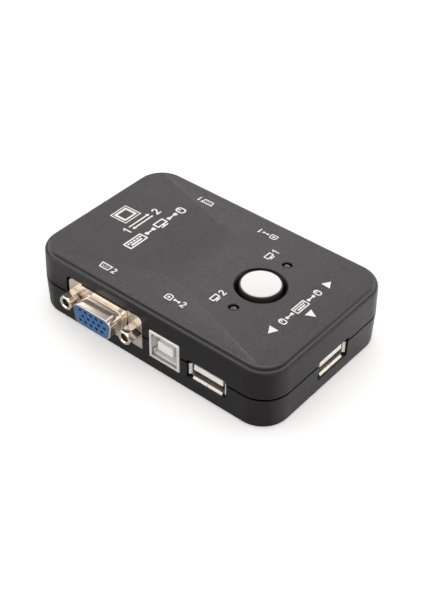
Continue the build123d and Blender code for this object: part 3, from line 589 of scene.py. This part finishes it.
# Each icon stands on v = 0 with its left edge at x, and returns its loops and its width.
# tall is its height and pen its line width.
def digit_1(x, tall, pen):
    wide = tall * 0.36
    right = x + wide
    return [[
        (right - pen, 0), (right, 0), (right, tall), (right - pen * 0.9, tall),
        (x, tall * 0.79), (x, tall * 0.79 - pen * 0.95), (right - pen, tall * 0.86),
    ]], wide


def digit_2(x, tall, pen):
    wide = tall * 0.62
    line = arc(x + wide / 2, tall - wide / 2, wide / 2 - pen / 2, 168, -38, 12)
    line.append((x + pen * 0.75, pen))
    loop = thick_line(line, pen)
    # both corners of the tail end just above the foot
    step = Vector(line[-1]) - Vector(line[-2])
    for i in (len(line) - 1, len(line)):
        corner = Vector(loop[i]) + step * ((pen + GAP - loop[i][1]) / step.y)
        loop[i] = (corner.x, corner.y)
    return [loop, rect(x, 0, x + wide, pen)], wide


def screen_icon(x, tall, pen):
    """A display on a short foot."""
    wide = tall * 1.25
    base = tall * 0.26
    return rect_frame(x, base, x + wide, tall, pen, tall * 0.08) + [
        rect(x + wide * 0.40, pen * 0.9 + GAP, x + wide * 0.60, base - GAP),
        rect(x + wide * 0.18, 0, x + wide * 0.82, pen * 0.9),
    ], wide


def keyboard_icon(x, tall, pen):
    """A frame with five keys over a space bar."""
    columns = 5
    wide = tall * 2.15
    loops = rect_frame(x, 0, x + wide, tall, pen, tall * 0.12)
    inset, gap = pen * 1.75, pen * 0.7
    x0, x1, y0, y1 = x + inset, x + wide - inset, inset, tall - inset
    key_wide = (x1 - x0 - (columns - 1) * gap) / columns
    key_tall = (y1 - y0 - gap) / 2
    for k in range(columns):
        left = x0 + k * (key_wide + gap)
        loops.append(rect(left, y0 + key_tall + gap, left + key_wide, y1))
    loops.append(rect(x0 + key_wide * 0.7, y0, x1 - key_wide * 0.7, y0 + key_tall))
    return loops, wide


def cable(x, tall, pen, ratio):
    """A short cable between two icons, with a plug at each end."""
    wide = tall * ratio
    middle, thin, thick = tall / 2, pen * 0.5, tall * 0.19
    plug = min(wide * 0.26, tall * 0.30)
    left, right = x + plug, x + wide - plug
    half = [(x, thick), (left, thick), (left, thin),
            (right, thin), (right, thick), (x + wide, thick)]
    return [[(u, middle - v) for u, v in half] + [(u, middle + v) for u, v in half[::-1]]], wide


def long_cable(x, tall, pen):
    return cable(x, tall, pen, ratio=1.15)


def short_cable(x, tall, pen):
    return cable(x, tall, pen, ratio=0.95)


def mouse_icon(x, tall, pen):
    wide = tall * 0.74
    radius = wide * 0.48
    middle = x + wide / 2
    wheel = rect(middle - pen * 0.5, tall * 0.52, middle + pen * 0.5, tall - pen - GAP)
    return rect_frame(x, 0, x + wide, tall, pen, radius, radius - pen) + [wheel], wide


def d_icon(x, tall, pen):
    """A D-shaped socket with rows of four and three pins."""
    wide = tall * 2.0
    left, right = x + wide * 0.10, x + wide * 0.90
    top = tall - pen
    outer = [(x, tall), (left, 0), (right, 0), (x + wide, tall)]
    inner = [(x + pen * 1.2, top), (left + pen * 0.9, pen),
             (right - pen * 0.9, pen), (x + wide - pen * 1.2, top)]
    loops = [outer, inner[::-1]]
    half = pen * 0.36
    for level, pins in ((0.64, 4), (0.38, 3)):
        y = tall * level
        for k in range(pins):
            pin = x + wide / 2 + (k - (pins - 1) / 2) * wide * 0.17
            loops.append(rect(pin - half, y - half, pin + half, y + half))
    return loops, wide


def square_plug_icon(x, tall, pen):
    """A square socket with its upper corners cut."""
    wide = tall * 1.1
    right = x + wide
    cut = tall * 0.24
    wall = pen * 0.95
    lean = wall * 0.3
    outer = [(x, 0), (right, 0), (right, tall - cut),
             (right - cut, tall), (x + cut, tall), (x, tall - cut)]
    inner = [(x + wall, wall), (right - wall, wall), (right - wall, tall - cut - lean),
             (right - cut - lean, tall - wall), (x + cut + lean, tall - wall),
             (x + wall, tall - cut - lean)]
    core = rect(x + wide * 0.33, tall * 0.34, x + wide * 0.67, tall * 0.64)
    return [outer, inner[::-1], core], wide


def arrows_icon(x, tall, pen):
    """Two opposed arrows, one over the other."""
    wide = tall * 2.9
    half = tall * 0.24
    loops = []
    for y, tail, tip, sign in ((tall * 0.74, x, x + wide, 1), (tall * 0.26, x + wide, x, -1)):
        neck = tip - sign * half * 1.5
        loops.append([(tail, y - pen / 2), (neck, y - pen / 2), (neck, y - half), (tip, y),
                      (neck, y + half), (neck, y + pen / 2), (tail, y + pen / 2)])
    return loops, wide


def icon_row(icons, tall, pen, gap):
    """Lays icons along u, centred on u = 0."""
    widths = [icon(0, tall, pen)[1] for icon in icons]
    x = -(sum(widths) + gap * (len(icons) - 1)) / 2
    loops = []
    for icon, wide in zip(icons, widths):
        loops += icon(x, tall, pen)[0]
        x += wide + gap
    return loops


# ------------------------------------------------------------------ printed marks on the panel
INK_SINK = 0.03     # depth of the layer's underside below the panel
INK_THICK = 0.06
INK_EDGE = 1.2      # longest edge, so that the layer follows the arched panel

top_mesh = nodes["top_case"].data
panel_tree = BVHTree.FromPolygons([v.co.copy() for v in top_mesh.vertices],
                                  [tuple(p.vertices) for p in top_mesh.polygons])


def panel_z(x, y):
    """Height of the panel in metres, or a level near its top where the ray misses."""
    hit = panel_tree.ray_cast(Vector((x, y, 0.05)), Vector((0, 0, -1)))[0]
    return hit.z if hit is not None else 0.023


def inside(x, y, loops):
    """Even-odd test of a point against all the loops at once."""
    hit = False
    for loop in loops:
        for (x0, y0), (x1, y1) in zip(loop[-1:] + loop[:-1], loop):
            if (y0 > y) != (y1 > y) and x < (x1 - x0) * (y - y0) / (y1 - y0) + x0:
                hit = not hit
    return hit


def print_mark(name, loops, x=0.0, y=0.0, degrees=0):
    """Thin closed ink layer; label axes u, v start at x, y and are turned by degrees."""
    coords, edges = [], []
    for loop in loops:
        k = len(coords)
        coords += [Vector(point) for point in loop]
        edges += [(k + i, k + (i + 1) % len(loop)) for i in range(len(loop))]
    points, _, triangles, _, _, _ = delaunay_2d_cdt(coords, edges, [], 0, 1e-5)
    bm = bmesh.new()
    verts = [bm.verts.new((point.x, point.y, 0)) for point in points]
    for corners in triangles:
        mid_u = sum(points[i].x for i in corners) / len(corners)
        mid_v = sum(points[i].y for i in corners) / len(corners)
        if inside(mid_u, mid_v, loops):
            bm.faces.new([verts[i] for i in corners])
    for vert in [v for v in bm.verts if not v.link_faces]:
        bm.verts.remove(vert)
    for _ in range(4):
        long_edges = [e for e in bm.edges if e.calc_length() > INK_EDGE]
        if not long_edges:
            break
        bmesh.ops.subdivide_edges(bm, edges=long_edges, cuts=1)
        bmesh.ops.triangulate(bm, faces=bm.faces)
    cos, sin = math.cos(math.radians(degrees)), math.sin(math.radians(degrees))
    for vert in bm.verts:
        u, v = vert.co.x, vert.co.y
        vert.co = Vector(((x + u * cos - v * sin) * MM, (y + u * sin + v * cos) * MM, 0))
    bmesh.ops.recalc_face_normals(bm, faces=bm.faces)
    for vert in bm.verts:
        vert.co.z = panel_z(vert.co.x, vert.co.y) - INK_SINK * MM
    extruded = bmesh.ops.extrude_face_region(bm, geom=bm.faces[:], use_keep_orig=True)
    for item in extruded["geom"]:
        if isinstance(item, bmesh.types.BMVert):
            item.co.z += INK_THICK * MM
    bmesh.ops.recalc_face_normals(bm, faces=bm.faces)
    mark = mesh_object(name, bm, materials["print_ink"])
    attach(mark, "case")


DISPLAY_ICON = [
    rect(-3.75, 0.0, 3.75, 7.1, 0.2), rect(-3.35, 0.4, 3.35, 6.7)[::-1],
    rect(-2.85, 1.05, 2.85, 6.2), rect(-2.0, 1.75, 2.0, 5.35)[::-1],
]
# name, icons, height, line width, gap, x, y, angle
# at 90 degrees a row reads along +Y with its tops towards -X
ICON_ROWS = [
    ("print_row_upper", (digit_1, arrows_icon, digit_2), 3.35, 0.56, 1.3, -27.85, 1.35, 90),
    ("print_row_lower", (keyboard_icon, long_cable, screen_icon, long_cable, mouse_icon),
     3.75, 0.55, 0.8, -21.7, 1.5, 90),
    # by the sockets of the long sides
    ("print_video_2", (d_icon, digit_2), 2.3, 0.40, 0.65, -21.1, -24.5, 0),
    ("print_usb_2", (square_plug_icon, short_cable, digit_2), 2.45, 0.42, 0.6, 5.1, -22.9, 0),
    ("print_video_1", (d_icon, digit_1), 2.3, 0.40, 0.65, -20.6, 24.3, 180),
    ("print_usb_1", (square_plug_icon, short_cable, digit_1), 2.45, 0.42, 0.6, 6.1, 23.5, 180),
    # by the lamps, and across the +X end
    ("print_lamp_1", (screen_icon, digit_1), 2.6, 0.43, 0.8, 14.9, 14.2, 90),
    ("print_lamp_2", (screen_icon, digit_2), 2.6, 0.43, 0.8, 14.9, -12.0, 90),
    ("print_desk_row", (mouse_icon, long_cable, keyboard_icon, long_cable, mouse_icon),
     2.85, 0.42, 0.65, 36.6, 0.5, 90),
]
# name, corners in x, y
ARROWS = [
    ("print_arrow_back", [(33.5, 13.4), (36.8, 13.2), (35.2, 16.1)]),
    ("print_arrow_front", [(33.3, -12.1), (35.1, -15.2), (36.7, -12.2)]),
    ("print_arrow_end", [(38.3, -1.6), (41.3, 0.0), (38.3, 1.7)]),
]
print_mark("print_display_icon", DISPLAY_ICON, -32.5, 0.6, 90)
for name, icons, tall, pen, gap, *place in ICON_ROWS:
    print_mark(name, icon_row(icons, tall, pen, gap), *place)
for name, corners in ARROWS:
    print_mark(name, [corners])


# ------------------------------------------------------------------ floor
def floor_paper():
    """Near-white to the camera; other rays see a grey that brightens towards +X +Y, a painted
    shade for reflections.
    """
    mat = Shader("floor_paper")
    to_camera = mat.node("ShaderNodeLightPath").outputs["Is Camera Ray"]
    position = mat.separate(mat.node("ShaderNodeNewGeometry").outputs["Position"])
    # painted shade seen in reflections: the floor is darker towards -X -Y
    across = mat.math("ADD", mat.multiply(position[0], 1.0), mat.multiply(position[1], 1.1))
    shade = mat.remap(across, span=(-0.12, 0.14), to=(0.50, 0.90))
    grey = mat.node("ShaderNodeCombineColor", {0: shade, 1: shade, 2: shade}).outputs[0]
    paper = mat.mix(mat.remap(mat.noise(600.0), span=(0.3, 0.7)),
                    (0.90, 0.90, 0.90), (0.93, 0.93, 0.93))
    mat.surface(Base_Color=mat.mix(to_camera, grey, paper), Roughness=0.9,
                Emission_Color=(1.0, 1.0, 1.0, 1),
                Emission_Strength=mat.multiply(to_camera, 0.26), Specular_IOR_Level=0.1)
    return mat.material


bm = bmesh.new()
bmesh.ops.create_grid(bm, x_segments=8, y_segments=8, size=3.0)
floor = mesh_object("floor", bm, floor_paper())
floor.location = (0, 0, -0.0001)

# ------------------------------------------------------------------ world and light
# sine of the elevation, brightness: dark at the horizon, brightest between about
# 17 and 35 degrees up, dim overhead
SKY = [(0.0, 0.14), (0.13, 0.18), (0.30, 2.1), (0.58, 2.2), (0.74, 0.30), (1.0, 0.22)]
SKY_GAIN = 2.5    # keeps the ramp's own values below 1

world = bpy.data.worlds.new("studio")
scene.world = world
world.use_nodes = True
sky = world.node_tree
sky.nodes.clear()
direction = add_node(sky, "ShaderNodeTexCoord").outputs["Generated"]
height = add_node(sky, "ShaderNodeSeparateXYZ", {0: direction}).outputs[2]
ramp = add_node(sky, "ShaderNodeValToRGB", {0: height})
ramp.color_ramp.interpolation = "EASE"
stops = ramp.color_ramp.elements
for sine, _ in SKY[1:-1]:
    stops.new(sine)
for stop, (_, level) in zip(sorted(stops, key=lambda s: s.position), SKY):
    stop.color = (*[level / SKY_GAIN] * 3, 1)
strength = add_node(sky, "ShaderNodeMath", {0: ramp.outputs[0], 1: SKY_GAIN},
                    operation="MULTIPLY").outputs[0]
background = add_node(sky, "ShaderNodeBackground", {0: (1.0, 0.985, 0.975, 1), 1: strength})
add_node(sky, "ShaderNodeOutputWorld", {0: background.outputs[0]})

light = bpy.data.lights.new("top", "AREA")
light.shape = "RECTANGLE"
light.size = light.size_y = 0.55
light.energy = 0.9
light.color = (1.0, 0.985, 0.97)
lamp = add_object("top", light)
lamp.location = (-0.10, 0.10, 0.75)
aim = Vector((0, 0, 0.01)) - Vector((-0.10, 0.10, 0.75))
lamp.rotation_euler = aim.to_track_quat("-Z", "Y").to_euler()

# ------------------------------------------------------------------ camera
# direction round the box from -Y towards +X, elevation, and roll about the view axis
azimuth, elevation, roll = (math.radians(a) for a in (39.306, 40.221, 0.856))
TARGET = Vector((0, 0, 12.0))
DISTANCE, SHIFT_RIGHT, SHIFT_UP = 381.513, 1.078, -3.95

back = Vector((math.sin(azimuth) * math.cos(elevation),
               -math.cos(azimuth) * math.cos(elevation), math.sin(elevation)))
level_right = Vector((math.cos(azimuth), math.sin(azimuth), 0))
level_up = back.cross(level_right)
right = level_right * math.cos(roll) + level_up * math.sin(roll)
up = level_right * -math.sin(roll) + level_up * math.cos(roll)
camera_data = bpy.data.cameras.new("camera")
camera_data.sensor_width = 36.0
camera_data.lens = 71.97252
camera_data.clip_start = 0.01
camera_data.clip_end = 20
camera = bpy.data.objects.new("camera", camera_data)
pose = Matrix((right, up, back)).transposed().to_4x4()
pose.translation = (TARGET + back * DISTANCE + right * SHIFT_RIGHT + up * SHIFT_UP) * MM
camera.matrix_world = pose
scene.collection.objects.link(camera)
scene.camera = camera
scene.view_settings.view_transform = "Standard"
scene.view_settings.look = "None"
